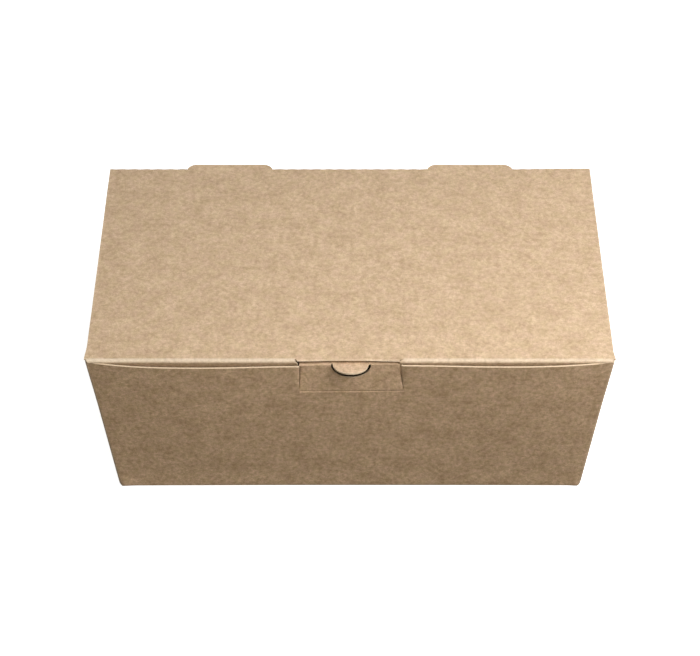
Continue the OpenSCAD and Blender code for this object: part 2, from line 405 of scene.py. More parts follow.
def cut_edge_material(name):
    """The board's cut edge: paler, with the plies showing as fine streaks."""
    material, graph, surface = bare_material(name)
    place = graph.node("TexCoord", {}).outputs["Object"]
    ply = graph.noise(place, scale=2.2 / MM, detail=3.0, rough=0.6)
    graph.links.new(graph.ramp(ply, [(0.3, EDGE_DARK), (0.7, EDGE_PALE)]), surface["Base Color"])
    surface["Roughness"].default_value = 0.75
    surface["IOR"].default_value = 1.45
    graph.links.new(graph.bump(ply, 0.3, 0.05), surface["Normal"])
    return material


lid_kraft = kraft_material("kraft_board", LID_KRAFT, 1.0)
tray_kraft = kraft_material("kraft_board_mottled", TRAY_KRAFT, 1.35)
cut_edge = cut_edge_material("kraft_cut_edge")


def dress(piece, slot):
    """Gives a piece its board, picked by the slot's name, and its cut edges."""
    piece.data.materials.append(lid_kraft if slot == "lid_board" else tray_kraft)
    piece.data.materials.append(cut_edge)
    return piece


# Tray: base, four walls and the rounded folds between them, in rings of columns round the box

SPACING = 1.4
TAB_X = 37.5
TAB_W = 26.4
TAB_END_W = 23.6
TAB_CORNER = 1.2
SEAM = 0.9
SEAM_W = 0.16
SEAM_DEPTH = 0.12
CORNER_STEPS = 6
FRONT_FAN = 20.0
REAR_FAN = TAB_X + TAB_W / 2 + 2
CRUSH = 0.09
CRUSH_H = 3.0
FOOT_H = 7
FOOT_OUT = 0.14
FOOT_BOW = (0.24, 0.12)
FOOT_CORNER = 0.16
FOOT_CORNER_RUN = (65, 3)
CORNER_WEAR = 0.35
BASE_WEAR = 0.3
TOP_WEAR = 0.25
CALM = 12

# Gentle waves of the walls, as height, length and seed
FRONT_WAVE = (0.05, 22, 1.5)
REAR_WAVE = (0.06, 25, 4.5)
SIDE_WAVES = {-1: (0.08, 24, 7), 1: (0.08, 24, 9)}
opening_l = -TONGUE_LEFT - CREASED_GAP
opening_r = TONGUE_RIGHT + CREASED_GAP
crease_strip = 0.7
hole_bottom = box_h - tab_d - CUT_GAP
rear_top = box_h - 1.2
hole_half = TAB_W / 2 + CUT_GAP
hole_end = TAB_END_W / 2 + CUT_GAP

wall_keys = [-lid_half + 1, opening_l - BEVEL, opening_l - BEVEL / 2, opening_l]
wall_keys += [opening_r, opening_r + BEVEL / 2, opening_r + BEVEL, lid_half - 1]
for side in (-1, 1):
    wall_keys += [side * TAB_X - hole_half, side * TAB_X + hole_half]
wall_x = stations(wall_keys, SPACING)


def corner_r(z):
    return FOLD_OUT + CORNER_EXTRA * (1 - z / wall_top)


def wave(u, z, kind):
    """How far a wall waves out at a place along it, u, and a height, z; nothing at its foot."""
    height, length, seed = kind
    return height * ripple(u, z, length, seed) * smooth(z / CALM)


def crush(z):
    """How far the base's corners are rubbed in at height z."""
    return CRUSH * (1 - smooth(z / CRUSH_H))


def hole_edge(z):
    """Half width of a tab's hole in the rear wall at height z, with its rounded lower corners."""
    up = z - hole_bottom
    slant = mix(hole_end, hole_half, min(max(up / (tab_d + CUT_GAP), 0), 1))
    if up >= TAB_CORNER:
        return slant
    return slant - TAB_CORNER + math.sqrt(max(TAB_CORNER ** 2 - (TAB_CORNER - max(up, 0)) ** 2, 0))


def fanned(x, z, r, start):
    """Where the column that stands at x under the lid is at height z, leaning in with the side walls."""
    edge = lid_half - 1
    lean = max(abs(x) - start, 0) / (edge - start)
    return math.copysign(abs(x) + lean * (half_l(z) - r - edge), x)


def cut_bevel(x, z):
    """How far the die has pressed the front wall in beside the tongue's opening."""
    off = max(opening_l - x, x - opening_r)
    return BEVEL_DEPTH * (1 - smooth(off / BEVEL)) * smooth((z - crease_z) / 2) if off > -0.01 else 0.0


def opening_lean(x, z):
    """How far the tongue's opening leans in along its two edges, above the crease."""
    up = min(max((z - crease_z) / (wall_top - crease_z), 0), 1)
    off = max(opening_l - x, x - opening_r)
    return OPENING_LEAN[x > 0] * up * max(1 - off / OPENING_LEAN_REACH, 0) if off > -0.01 else 0.0


def foot(x, z):
    """How the front wall's foot stands out, most of all at its two corners."""
    bow = FOOT_BOW[x >= 0] * (x / half_l(0)) ** 2
    out = FOOT_OUT + bow + FOOT_CORNER * ease(abs(x), *FOOT_CORNER_RUN)
    return -out * (1 - smooth(z / FOOT_H))


def front_column(x):
    """A column of the front wall: at(z, draw) is its place at a height, drawn in at the base's fold."""
    def at(z, draw):
        r = corner_r(z)
        y = -front_y(z) + draw - top_bow(x * lid_half / (lid_half - 1)) * z / wall_top
        out = wave(x, z, FRONT_WAVE) * smooth((lid_half - abs(x)) / CALM)
        px = fanned(x, z, r, FRONT_FAN)
        y += cut_bevel(x, z) + foot(px, z)
        px += opening_lean(x, z)
        return Vector((px, y - out, z)), (px, -front_y(0) - z / math.cos(wall_lean))
    return at


def rear_column(x):
    """A column of the rear wall, bent round the holes of the lid's tabs."""
    def at(z, draw):
        r = corner_r(z)
        px = fanned(x, z, r, REAR_FAN)
        if z > hole_bottom - 0.01:
            for middle in (-TAB_X, TAB_X):
                for side in (-1, 1):
                    off = side * (x - middle)
                    px += side * nearness(off - hole_half) * (hole_edge(z) - hole_half)
        out = wave(x, z, REAR_WAVE) * smooth((rear_top - z) / 10)
        return Vector((px, rear_y(z) - draw + out, z)), (px, rear_y(0) + z / math.cos(wall_lean))
    return at


def side_column(side, share):
    """A column of a side wall; share runs from the front corner, 0, to the rear one, 1."""
    def at(z, draw):
        r = corner_r(z)
        y = mix(r - front_y(z), rear_y(z) - r, share)
        out = wave(y, z, SIDE_WAVES[side]) * smooth(min(share, 1 - share) * 8)
        x = side * (half_l(z) - draw + out)
        return Vector((x, y, z)), (side * (half_l(0) + z / math.cos(wall_lean)), y)
    return at


def seam_column(side, end, along, depth, in_side):
    """A column of the narrow seam where a side wall's cut edge lies over the corner's fold."""
    def at(z, draw):
        r = corner_r(z)
        y = end * ((front_y(z) if end < 0 else rear_y(z)) - r - along)
        x = side * (half_l(z) - draw - depth * smooth(z / 1.5))
        rise = z / math.cos(wall_lean)
        if in_side:
            return Vector((x, y, z)), (side * (half_l(0) + rise), y)
        reach = r * math.pi / 2 + along
        base = front_y(0) if end < 0 else rear_y(0)
        return Vector((x, y, z)), (side * (half_l(z) - r + reach), end * (base + rise))
    return at


def corner_column(side, end, step):
    """A column of a corner's fold; step 0 is at the front or rear wall and 1 at the side wall."""
    def at(z, draw):
        r = corner_r(z)
        turn = step * math.pi / 2
        edge = front_y(z) if end < 0 else rear_y(z)
        keep = max(r - draw, 0.0)
        middle = Vector((side * (half_l(z) - r), end * (edge - r), z))
        if draw >= r:
            middle = Vector((side * (half_l(z) - draw), end * (edge - draw), z))
        out = Vector((side * math.sin(turn), end * math.cos(turn), 0)) * keep
        place = middle + out
        rub = crush(z) * math.sin(2 * turn) ** 0.5 if 0 < step < 1 else 0
        place -= Vector((side, end, 0)).normalized() * rub
        if end < 0:
            place.y += foot(side * half_l(0), z) * (1 - step) ** 2
        base = front_y(0) if end < 0 else rear_y(0)
        return place, (side * (half_l(z) - r + r * turn), end * (base + z / math.cos(wall_lean)))
    return at


def tray_columns():
    """Columns round the tray, anticlockwise from the front left, each with the kind of wall it is on."""
    out = []

    def corner(side, end, forwards):
        turns = steps(0, 1, CORNER_STEPS)[1:-1] if forwards else steps(1, 0, CORNER_STEPS)[1:-1]
        seam = [(0.0, 0.0, False), (SEAM, 0.0, False), (SEAM + SEAM_W / 2, SEAM_DEPTH, False),
                (SEAM + SEAM_W, 0.0, True)]
        folds = [("corner", corner_column(side, end, t)) for t in turns]
        seams = [("seam", seam_column(side, end, *s)) for s in seam]
        return folds + seams if forwards else seams[::-1] + folds

    shares = steps(0, 1, 56)[2:-2]
    out += [("front", front_column(x), x) for x in wall_x]
    out += [(*c, 0) for c in corner(1, -1, True)]
    out += [("side", side_column(1, s), s) for s in shares]
    out += [(*c, 0) for c in corner(1, 1, False)]
    out += [("rear", rear_column(x), x) for x in reversed(wall_x)]
    out += [(*c, 0) for c in corner(-1, 1, True)]
    out += [("side", side_column(-1, s), s) for s in reversed(shares)]
    out += [(*c, 0) for c in corner(-1, -1, False)]
    return out


def wall_rows():
    """Heights up a wall: the base's fold, then the wall, with stops at the crease and at the tabs' holes."""
    fold = [(FOLD_OUT * (1 - math.cos(a)), FOLD_OUT * (1 - math.sin(a))) for a in steps(0, math.pi / 2, 6)]
    keys = [FOLD_OUT, CRUSH_H, crease_z - crease_strip, hole_bottom]
    heights = stations(keys, SPACING) + steps(hole_bottom, rear_top, 8)[1:] + [wall_top]
    return fold + [(z, 0.0) for z in heights[1:]]


def tray_shell():
    sheet = Sheet()
    columns = tray_columns()
    columns.append(columns[0])
    rows = wall_rows()

    def where(column, row):
        z, draw = row
        place, blank = column[1](z, draw)
        worn = 0.0
        if column[0] in ("corner", "seam"):
            worn = CORNER_WEAR
        if z < FOLD_OUT:
            worn = max(worn, BASE_WEAR * math.sin(math.pi * (z / FOLD_OUT)))
        if z > wall_top - 0.05:
            worn = max(worn, TOP_WEAR)
        return place, blank, worn

    def keep(i, j):
        (kind, _, x), (next_kind, _, next_x) = columns[i:i + 2]
        middle = (rows[j][0] + rows[j + 1][0]) / 2
        if kind == next_kind == "front":
            inside = opening_l - 0.01 < (x + next_x) / 2 < opening_r + 0.01
            return not (inside and middle > crease_z - crease_strip)
        if "rear" in (kind, next_kind):
            if middle > rear_top:
                return False
            if kind == next_kind:
                off = abs(abs((x + next_x) / 2) - TAB_X)
                return not (off < hole_half and middle > hole_bottom)
        return True

    sheet.grid(columns, rows, where, keep)

    # Base panel, whose edges are the first points of the walls
    front = [c for c in columns[:-1] if c[0] == "front"]
    rear = [c for c in columns[:-1] if c[0] == "rear"][::-1]
    z0, draw0 = rows[0]
    left, right = -(half_l(0) - draw0), half_l(0) - draw0
    near, far = -(front_y(0) - draw0), rear_y(0) - draw0
    ends_x = [left] + [c[1](z0, draw0)[0].x for c in front] + [right]
    rear_x = [left] + [c[1](z0, draw0)[0].x for c in rear] + [right]
    sides = [c for c in columns[:-1] if c[0] in ("side", "seam") and c[1](z0, draw0)[0].x > 0]
    ends_y = sorted({round(c[1](z0, draw0)[0].y, 6) for c in sides} | {near, far})

    def base_point(i, y):
        share = (y - near) / (far - near)
        x = mix(ends_x[i], rear_x[i], share)
        return Vector((x, y, z0)), (x, y), 0.0

    sheet.grid(list(range(len(ends_x))), ends_y[::-1], base_point)
    return sheet.solid("tray_shell")


def glue_flap(side, end, name):
    """A glue flap on the inside of a side wall, with its slanted free end."""
    length, slant, margin = 20.0, 6.0, 2.0
    corner = 2.0
    low, high = BOARD_T + margin, wall_top - margin
    sheet = Sheet()

    def edge(z):
        reach = length - slant * (z - low) / (high - low)
        for inwards in (z - low, high - z):
            if inwards < corner:
                reach -= corner - math.sqrt(corner ** 2 - (corner - inwards) ** 2)
        return reach

    def where(share, z):
        r = corner_r(z)
        start = (front_y(z) if end < 0 else rear_y(z)) - BOARD_T * 0.6
        y = end * (start - share * edge(z))
        x = side * (half_l(z) - BOARD_T + 0.02)
        rise = z / math.cos(wall_lean)
        blank = (side * (half_l(z) + share * edge(z)), end * (front_y(0) + rise))
        return Vector((x, y, z)), blank, 0.0

    shares = steps(0, 1, 14)
    if side * end > 0:
        shares = shares[::-1]
    zs = stations([low, low + corner / 2, low + corner, high - corner, high - corner / 2, high], 1.5)
    zs = sorted(set(zs + steps(low, low + corner, 6) + steps(high - corner, high, 6)))
    sheet.grid(shares, zs, where)
    return sheet.solid(name)


# Lid: panel with its slit edge and tabs, the front fold and the two ears of the tuck flap

FLAP_D = 15.0
FLAP_TILT = math.radians(2.1)
FLAP_END = 5.0
EAR_TUCK = 0.15
FLAP_TAPER = 3.0
FLAP_CORNER = 6.0
EAR_STEP = 0.8
TAB_HOLLOW = 0.12

# The slit and the cuts at its two ends, left and right
CUT_MID = (-15.4, 14.08)
CUT_END = (-15.15, 14.2)
EAR_IN = (-14.8, 14.15)
SLIT_BACK = 0.29
SLIT_SAG = 0.17
SLIT_OUT = 0.1
SLIT_OUT_RUN = (3, 10)
# Pale paint on the slit's lip: scuffed board and a painted highlight
SLIT_WEAR_AND_HIGHLIGHT = 0.6
SLIT_L, SLIT_R = -14.95, 14.0
SLIT_SLANT = (0.8, 1.4)
SLIT_DROP = 0.4
SLIT_DROP_RUN = (2, 13)
DROP_LEFT = 0.2
DROP_LEFT_RUN = (5, 8)
FOLD_END = 0.7
RIDGE_W = 0.5
# Pale paint on the front ridge, at its left and right ends: scuffed fibres and a painted highlight where the
# fold catches the light
RIDGE_WEAR_AND_SHEEN = (1.0, 0.5)
RIDGE_SHEEN_FADE = 1.4
EDGE_WEAR = 0.25
EDGE_WEAR_W = 0.8
FLARE_FROM = 60
FLARE_KEPT = 0.3
LID_CALM = 10
DOME = 0.22
LID_WAVE = (0.10, 26, 0.7)
REAR_LIFT = 0.22
REAR_LIFT_RUN = (48, 22)
REAR_LIFT_D = 12
flap_lean = wall_lean + FLAP_TILT
slit_out = (SLIT_L - SLIT_SLANT[0], SLIT_R + SLIT_SLANT[1])
slit_mid = (SLIT_L - SLIT_SLANT[0] / 2, SLIT_R + SLIT_SLANT[1] / 2)
ear_out = lid_half - FLAP_END
front_edge = -hinge_y + FOLD_OUT
strip_start = hinge_y - FOLD_OUT - 0.8
blank_lid = rear_y(0) + box_h / math.cos(wall_lean) + hinge_y

lid_keys = [-lid_half, -lid_half + FOLD_END, -ear_out, ear_out, lid_half - FOLD_END, lid_half]
lid_keys += [*slit_out, *slit_mid]
for side in (-1, 1):
    lid_keys += [side * TAB_X - TAB_W / 2, side * TAB_X + TAB_W / 2]
lid_x = stations(lid_keys, SPACING)


def lid_lie(x, y):
    """Small unevenness of the lid's panel, none at its folds."""
    calm = smooth((y - front_edge) / LID_CALM) * smooth((strip_start - y) / LID_CALM)
    dome = DOME * math.cos(math.pi * x / (2 * lid_half)) * calm
    height, length, seed = LID_WAVE
    return dome + height * ripple(x, y, length, seed) * calm


def rear_lift(x, y):
    """The right end of the rear crease stands a little proud."""
    near = smooth((y - strip_start + REAR_LIFT_D) / REAR_LIFT_D)
    return REAR_LIFT * ease(x, *REAR_LIFT_RUN) * near


def ridge_wear_and_sheen(x):
    """How pale the front ridge is painted at x, for fibres scuffed pale and a painted highlight where the
    fold catches the light; more at the left end than the right, and none at the slit's right end.
    """
    rubbed_and_highlit = mix(*RIDGE_WEAR_AND_SHEEN, (x + lid_half) / (2 * lid_half))
    return rubbed_and_highlit * ease(x, CUT_END[1], RIDGE_SHEEN_FADE) if x > 0 else rubbed_and_highlit


def panel_point(x, y):
    """On the lid's panel, which flares at its two front corners."""
    reach = FLARE_LEFT if x < 0 else FLARE_RIGHT
    flare = LID_FLARE * smooth((front_edge + reach - y) / reach)
    flare *= ease(abs(x), FLARE_FROM, lid_half - FLARE_FROM)
    px = x + math.copysign(flare, x)
    worn = EDGE_WEAR * smooth((abs(x) - lid_half + EDGE_WEAR_W) / EDGE_WEAR_W)
    if not slit_out[0] < x < slit_out[1]:
        worn = max(worn, ridge_wear_and_sheen(x) * smooth((front_edge + RIDGE_W - y) / RIDGE_W))
    return Vector((px, y, box_h + lid_lie(x, y) + rear_lift(x, y))), (x, blank_lid - y), worn


def fold_inner_x(x, share):
    """The fold's ends beside the slit are cut on a slant, close along the slit edge's own ends."""
    for cut, middle, end in zip(slit_out, CUT_MID, CUT_END):
        place = mix(cut, middle, share * 2) if share < 0.5 else mix(middle, end, share * 2 - 1)
        x += nearness(x - cut) * (place - cut)
    return x


def front_fold_point(x, share):
    """On the lid's front fold: share 0 is level with the panel, 1 is where the tuck flap runs straight."""
    turn = share * (math.pi / 2 + flap_lean)
    y = front_edge - FOLD_OUT * math.sin(turn)
    z = box_h - FOLD_OUT + FOLD_OUT * math.cos(turn)
    px = fold_inner_x(x, share)
    if abs(x) > lid_half - FOLD_END - 0.01:
        px = x + math.copysign(LID_FLARE * (1 - ease(share, FLARE_KEPT, 1 - FLARE_KEPT)), x)
    worn = ridge_wear_and_sheen(px) * (1 - 0.6 * smooth((share - 0.5) / 0.5))
    return Vector((px, y, z)), (x, blank_lid - front_edge + FOLD_OUT * turn), worn


def ear_edges(depth, side):
    """Inner and outer edge of an ear at a depth below the fold, as distances from the middle."""
    run = FLAP_D - FOLD_OUT
    left = run - depth
    at = 0 if side < 0 else 1
    inner = abs(mix(CUT_END[at], EAR_IN[at], smooth(depth / EAR_STEP)))
    outer = ear_out - FLAP_TAPER * depth / run
    if left < FLAP_CORNER:
        outer -= FLAP_CORNER - math.sqrt(FLAP_CORNER ** 2 - (FLAP_CORNER - left) ** 2)
    small = FLAP_CORNER / 3
    if left < small:
        inner += small - math.sqrt(small ** 2 - (small - left) ** 2)
    return inner, outer


def ear_point(x, depth):
    """On an ear of the tuck flap, whose two upright edges are tucked in a little."""
    side = -1 if x < 0 else 1
    inner0, outer0 = ear_edges(0, side)
    inner, outer = ear_edges(depth, side)
    top = abs(fold_inner_x(x, 1))
    share = (top - inner0) / (outer0 - inner0)
    start, blank, _ = front_fold_point(x, 1)
    px = side * mix(inner, outer, share)
    near_end = 1 - smooth((abs(px) - inner - 1) / 3) + smooth((abs(px) - ear_out + 6) / 5)
    y = start.y + depth * math.sin(flap_lean) + EAR_TUCK * near_end * smooth(depth / 1.2)
    z = start.z - depth * math.cos(flap_lean)
    return Vector((px, y, z)), (px, blank[1] + depth), 0.0


def tab_half(d):
    """Half width of a rear tab at a distance past the crease."""
    slant = mix(TAB_W, TAB_END_W, min(max(d / tab_d, 0), 1)) / 2
    left = tab_d - d
    if left < TAB_CORNER:
        slant -= TAB_CORNER - math.sqrt(max(TAB_CORNER ** 2 - (TAB_CORNER - left) ** 2, 0))
    return slant


def slit_drop(x):
    """How far the slit's edge hangs down, most of all at its right end."""
    return SLIT_DROP * ease(x, *SLIT_DROP_RUN) + DROP_LEFT * ease(-x, *DROP_LEFT_RUN)


def slit_edge(x):
    """Where the slit's edge is from front to back; its left end stands out a little."""
    return -hinge_y + SLIT_BACK - SLIT_OUT * ease(-x, *SLIT_OUT_RUN)


def lid_sheet():
    sheet = Sheet()
    near = steps(front_edge, front_edge + RIDGE_W, 3)
    panel_rows = stations(near + [front_edge + FLARE_RIGHT, front_edge + FLARE_LEFT, strip_start], SPACING)
    sheet.grid(lid_x, panel_rows, panel_point)

    # Slit edge, which sags a little past the fold's start; its lip is painted pale, for scuffed board and a
    # painted highlight where the edge catches the light
    low, high = slit_mid
    middle = [x for x in lid_x if low - 1e-6 <= x <= high + 1e-6]

    def slit_point(x, share):
        px = mix(x, mix(SLIT_L, SLIT_R, (x - low) / (high - low)), share)
        y = mix(front_edge, slit_edge(x), share)
        place, blank, _ = panel_point(x, y)
        drop = (SLIT_SAG + slit_drop(x)) * share ** 2
        return Vector((px, y, place.z - drop)), (px, blank[1]), SLIT_WEAR_AND_HIGHLIGHT * share ** 2
    sheet.grid(middle, steps(1, 0, 4), slit_point)

    # Front fold and ears, on either side of the slit
    run = FLAP_D - FOLD_OUT
    ear_rows = steps(run, 0, 10) + steps(run, run - FLAP_CORNER, 8) + steps(EAR_STEP, EAR_STEP / 4, 3)
    ear_rows = sorted(set(ear_rows), reverse=True)
    for side in (-1, 1):
        inner = slit_out[0] if side < 0 else slit_out[1]
        ends = sorted((inner, side * (lid_half - FOLD_END)))
        fold_x = [x for x in lid_x if ends[0] - 1e-6 <= x <= ends[1] + 1e-6]
        sheet.grid(fold_x, steps(1, 0, 9), front_fold_point)
        ends = sorted((inner, side * ear_out))
        ear_x = [x for x in lid_x if ends[0] - 1e-6 <= x <= ends[1] + 1e-6]
        sheet.grid(ear_x, ear_rows, ear_point)

    # Rear tabs, level with the panel
    for middle_x in (-TAB_X, TAB_X):
        tab_x = [x for x in lid_x if abs(x - middle_x) <= TAB_W / 2 + 1e-6]

        def tab_point(x, y):
            place, blank, _ = panel_point(x, y)
            past = max(y - hinge_y, 0)
            px = middle_x + (x - middle_x) * tab_half(past) / (TAB_W / 2)
            hollow = TAB_HOLLOW * smooth(past / tab_d) * math.cos(math.pi * (x - middle_x) / TAB_W)
            return Vector((px, y - hollow, place.z)), (px, blank[1]), 0.0
        rows = [strip_start, hinge_y - FOLD_OUT, hinge_y, hinge_y + tab_d - TAB_CORNER]
        rows += steps(hinge_y + tab_d - TAB_CORNER, hinge_y + tab_d, 6)[1:]
        sheet.grid(tab_x, rows, tab_point)
    return sheet.solid("lid_sheet")


# Waves of the rear crease, as height and length, its wear, and how far its ends are drawn in
CREASE_WAVE = (0.05, 3.8)
CREASE_WEAR = 0.45
CREASE_IN = 0.04


def hinge_strip(x0, x1, name):
    """The rear crease between two of the lid's cuts, from the rear wall round to the panel."""
    sheet = Sheet()
    centre = Vector((0, hinge_y - FOLD_OUT, box_h - FOLD_OUT))
    wall = [("wall", z) for z in steps(rear_top, box_h - FOLD_OUT, 2)[:-1]]
    bend = [("bend", a) for a in steps(0, math.pi / 2, 10)]
    panel = [("panel", y) for y in steps(hinge_y - FOLD_OUT, strip_start, 3)[1:]]
    at_tab = [abs(abs(x) - TAB_X) < TAB_W / 2 + 0.3 for x in (x0, x1)]

    def where(x, row):
        kind, v = row
        worn = 0.0
        rise = box_h / math.cos(wall_lean)
        if kind == "wall":
            share = (v - rear_top) / (box_h - FOLD_OUT - rear_top)
            y = mix(rear_y(v), hinge_y, share)
            place, blank_y = Vector((x, y, v)), rear_y(0) + v / math.cos(wall_lean)
            cut = hole_edge(v) - hole_half
        elif kind == "bend":
            height, length = CREASE_WAVE
            r = FOLD_OUT + height * math.sin(math.tau * x / length) * math.sin(2 * v) ** 2
            place = centre + Vector((x, r * math.cos(v), r * math.sin(v) + rear_lift(x, hinge_y)))
            blank_y = rear_y(0) + rise - FOLD_OUT + FOLD_OUT * v
            cut = hole_edge(place.z) - hole_half
            worn = CREASE_WEAR * math.sin(2 * v) ** 2
        else:
            place, blank, _ = panel_point(x, v)
            blank_y, cut = blank[1], 0
        if kind != "panel":
            lean = half_l(place.z) - half_l(box_h) - CREASE_IN
            for end, tab_side in zip((x0, x1), at_tab):
                shift = (cut if abs(end) > TAB_X else -cut) if tab_side else lean
                place.x += math.copysign(nearness(x - end), end) * shift
        return place, (x, blank_y), worn

    columns = stations([x0, x1], 0.5)[::-1]
    sheet.grid(columns, wall + bend + panel, where)
    return sheet.solid(name)


# Tongue, in a frame of its own: crease along X, p up the strip, and the outer face at 0

TONGUE_LEAN = math.radians(1.0)
LIP_SLOPE = math.radians(2.0)
LIP_L = 4.0
LIP_CORNER = 2.0
LIP_SLANT = 0.8

# The thumb tab is a half disc, a little fuller than round, whose middle is just behind the fold
THUMB_R = 5.17
THUMB_X = 0.19
THUMB_BACK = 0.55
THUMB_FULL = 0.88
THUMB_CURL = 0.34
# The thumb tab is painted paler all over, and paler still from THUMB_RIM out to its edge: a painted
# highlight
THUMB_HIGHLIGHT = 0.18
THUMB_RIM = 0.9
HOLE_X = 0.29
HOLE_R = 5.74
HOLE_DEPTH = 5.2
TONGUE_H = 10.53
BEND_LEFT = 0.5
BEND_RIGHT = 0.22
NECK = 0.2
NECK_RUN = 6
NECK_FADE = (9, 1.2)
# Painted shade on the strip's fold all along, and more of it towards the right end, running onto the lip
FOLD_PAINTED_SHADE = -0.25
FOLD_RIGHT_SHADE = -0.8
FOLD_RIGHT_SHADE_RUN = (5, 4)
LIP_SHADE_FADE = (0.4, 1.2)
DENT = 0.16
DENT_P = 7.0
DENT_H = 2.2
DENT_W = 2.0
STRIP_WAVE = (0.05, 9, 2.2)
lip_turn = math.pi / 2 + LIP_SLOPE
blank_crease = -front_y(0) - crease_z / math.cos(wall_lean)


def tongue_place(x, y, z):
    """From the tongue's own frame to the box's."""
    c, s = math.cos(TONGUE_LEAN), math.sin(TONGUE_LEAN)
    return Vector((x, crease_y + c * y - s * z, crease_z + s * y + c * z))


def tongue_right_at(p):
    return TONGUE_RIGHT - TONGUE_TAPER * p / TONGUE_H


def tongue_x(x, p):
    """Right of the hole the columns lean with the edge; left of it they draw in to a slight neck."""
    right_from, left_from = HOLE_X + HOLE_R + 1, HOLE_X - HOLE_R - 1
    right_share = max(x - right_from, 0) / (TONGUE_RIGHT - right_from)
    left_share = max(left_from - x, 0) / (left_from + TONGUE_LEFT)
    neck = NECK * smooth(p / NECK_RUN) * (1 - ease(p, *NECK_FADE))
    return x + right_share * (tongue_right_at(p) - TONGUE_RIGHT) + left_share * neck


def edge_roll(x):
    """How far the die has pressed in the strip's face at a distance from its side edges."""
    off = min(x + TONGUE_LEFT, TONGUE_RIGHT - x)
    return BEVEL_DEPTH * (1 - smooth(off / BEVEL))


def dent(x, p):
    """The strip's two edges are pressed in a little below its fold."""
    off = min(x + TONGUE_LEFT, TONGUE_RIGHT - x)
    return DENT * math.exp(-((p - DENT_P) / DENT_H) ** 2) * (1 - smooth(off / DENT_W))


def bend_r(x):
    """The strip's fold is sharper towards its right end."""
    return mix(BEND_LEFT, BEND_RIGHT, smooth((x + TONGUE_LEFT) / (TONGUE_LEFT + TONGUE_RIGHT)))


def strip_point(x, p):
    """On the upright strip, p up from the crease."""
    height, length, seed = STRIP_WAVE
    lie = height * ripple(x, p, length, seed) * smooth(p / 3)
    roll = edge_roll(x) * smooth((p - crease_strip) / 2) + dent(x, p)
    return tongue_place(tongue_x(x, p), roll - lie, p), (x, blank_crease - p), 0.0


def fold_top(x):
    """Height of the strip's fold, which hangs down at its left end as the slit does."""
    return TONGUE_H - slit_drop(min(x, 0))


def fold_right_shade(x):
    """Painted shade on the strip's fold, growing towards its right end, where the fold lies in the shade of
    the lid's edge.
    """
    return FOLD_RIGHT_SHADE * ease(x, *FOLD_RIGHT_SHADE_RUN)


def bend_point(x, share):
    """On the strip's fold: share 0 is at the strip and 1 at the lock lip."""
    turn = share * lip_turn
    r = bend_r(x)
    y = r - r * math.cos(turn)
    p = fold_top(x) - r + r * math.sin(turn)
    blank = (x, blank_crease - TONGUE_H + r - r * turn)
    return tongue_place(tongue_x(x, TONGUE_H), y, p), blank, fold_right_shade(x) + FOLD_PAINTED_SHADE


def lip_point(x, run):
    """On the lock lip, run past the end of the bend; negative runs are the thumb tab."""
    r = bend_r(x)
    y = r + r * math.sin(LIP_SLOPE) + run * math.cos(LIP_SLOPE)
    p = fold_top(x) - r + r * math.cos(LIP_SLOPE) - run * math.sin(LIP_SLOPE)
    blank = (x, blank_crease - TONGUE_H + r - r * lip_turn - run)
    # painted shade on the lip beside the fold, fading along the lip
    painted_shade_level = fold_right_shade(x) * (1 - ease(run, *LIP_SHADE_FADE))
    return tongue_place(tongue_x(x, TONGUE_H), y, p), blank, painted_shade_level


def tongue_sheet():
    sheet = Sheet()
    left, right = HOLE_X - HOLE_R, HOLE_X + HOLE_R
    turns = steps(-math.pi / 2, math.pi / 2, 30)
    thumb = [THUMB_X + THUMB_R * math.sin(a) for a in turns]
    hole = [HOLE_X + HOLE_R * math.sin(a) for a in turns]
    outer_l = stations([-TONGUE_LEFT, -TONGUE_LEFT + BEVEL / 2, -TONGUE_LEFT + BEVEL, left], 0.7)
    outer_r = stations([right, TONGUE_RIGHT - BEVEL, TONGUE_RIGHT - BEVEL / 2, TONGUE_RIGHT], 0.7)

    def strip_top(x):
        off = min(abs(x - HOLE_X) / HOLE_R, 1.0)
        return fold_top(x) - max(HOLE_DEPTH * math.sqrt(1 - off ** 2), bend_r(x))

    def strip(x, share):
        return strip_point(x, mix(crease_strip, strip_top(x), share))

    sheet.grid(outer_l[:-1] + hole + outer_r[1:], steps(0, 1, 14), strip)
    sheet.grid(outer_l, steps(0, 1, 8), bend_point)
    sheet.grid(outer_r, steps(0, 1, 8), bend_point)

    # Lock lip with slanted corners, and the thumb tab level with it
    lip_run = LIP_L - FOLD_OUT
    lip_x = outer_l + thumb + outer_r

    def lip_end(x):
        edge = min(x + TONGUE_LEFT, TONGUE_RIGHT - x)
        return lip_run - max(LIP_CORNER - edge, 0) * LIP_SLANT

    def lip(x, share):
        return lip_point(x, share * lip_end(x))

    sheet.grid(lip_x, steps(0, 1, 6), lip)

    def thumb_point(x, share):
        off = min(abs(x - THUMB_X) / THUMB_R, 1.0)
        reach = max(THUMB_R * (1 - off ** 2) ** (THUMB_FULL / 2) - THUMB_BACK, 0.0)
        place, blank, _ = lip_point(x, -share * reach)
        place.z += THUMB_CURL * (share * reach / THUMB_R) ** 2
        # painted highlight on the tab, strongest at its rim
        return place, blank, max(ease(share, THUMB_RIM, 1 - THUMB_RIM), THUMB_HIGHLIGHT)
    sheet.grid(thumb, steps(1, THUMB_RIM, 3) + steps(THUMB_RIM, 0, 12)[1:], thumb_point)
    return sheet.solid("tongue_sheet")


# Scored groove of the tongue's crease, with painted shade along it; its place and reach are shares of the
# crease's height
GROOVE = 0.14
GROOVE_AT = 0.4
GROOVE_BELOW = 0.1
GROOVE_ABOVE = 0.26
GROOVE_SHADE_ROWS = (0.45, 0.6)
GROOVE_PAINTED_SHADE = -0.8


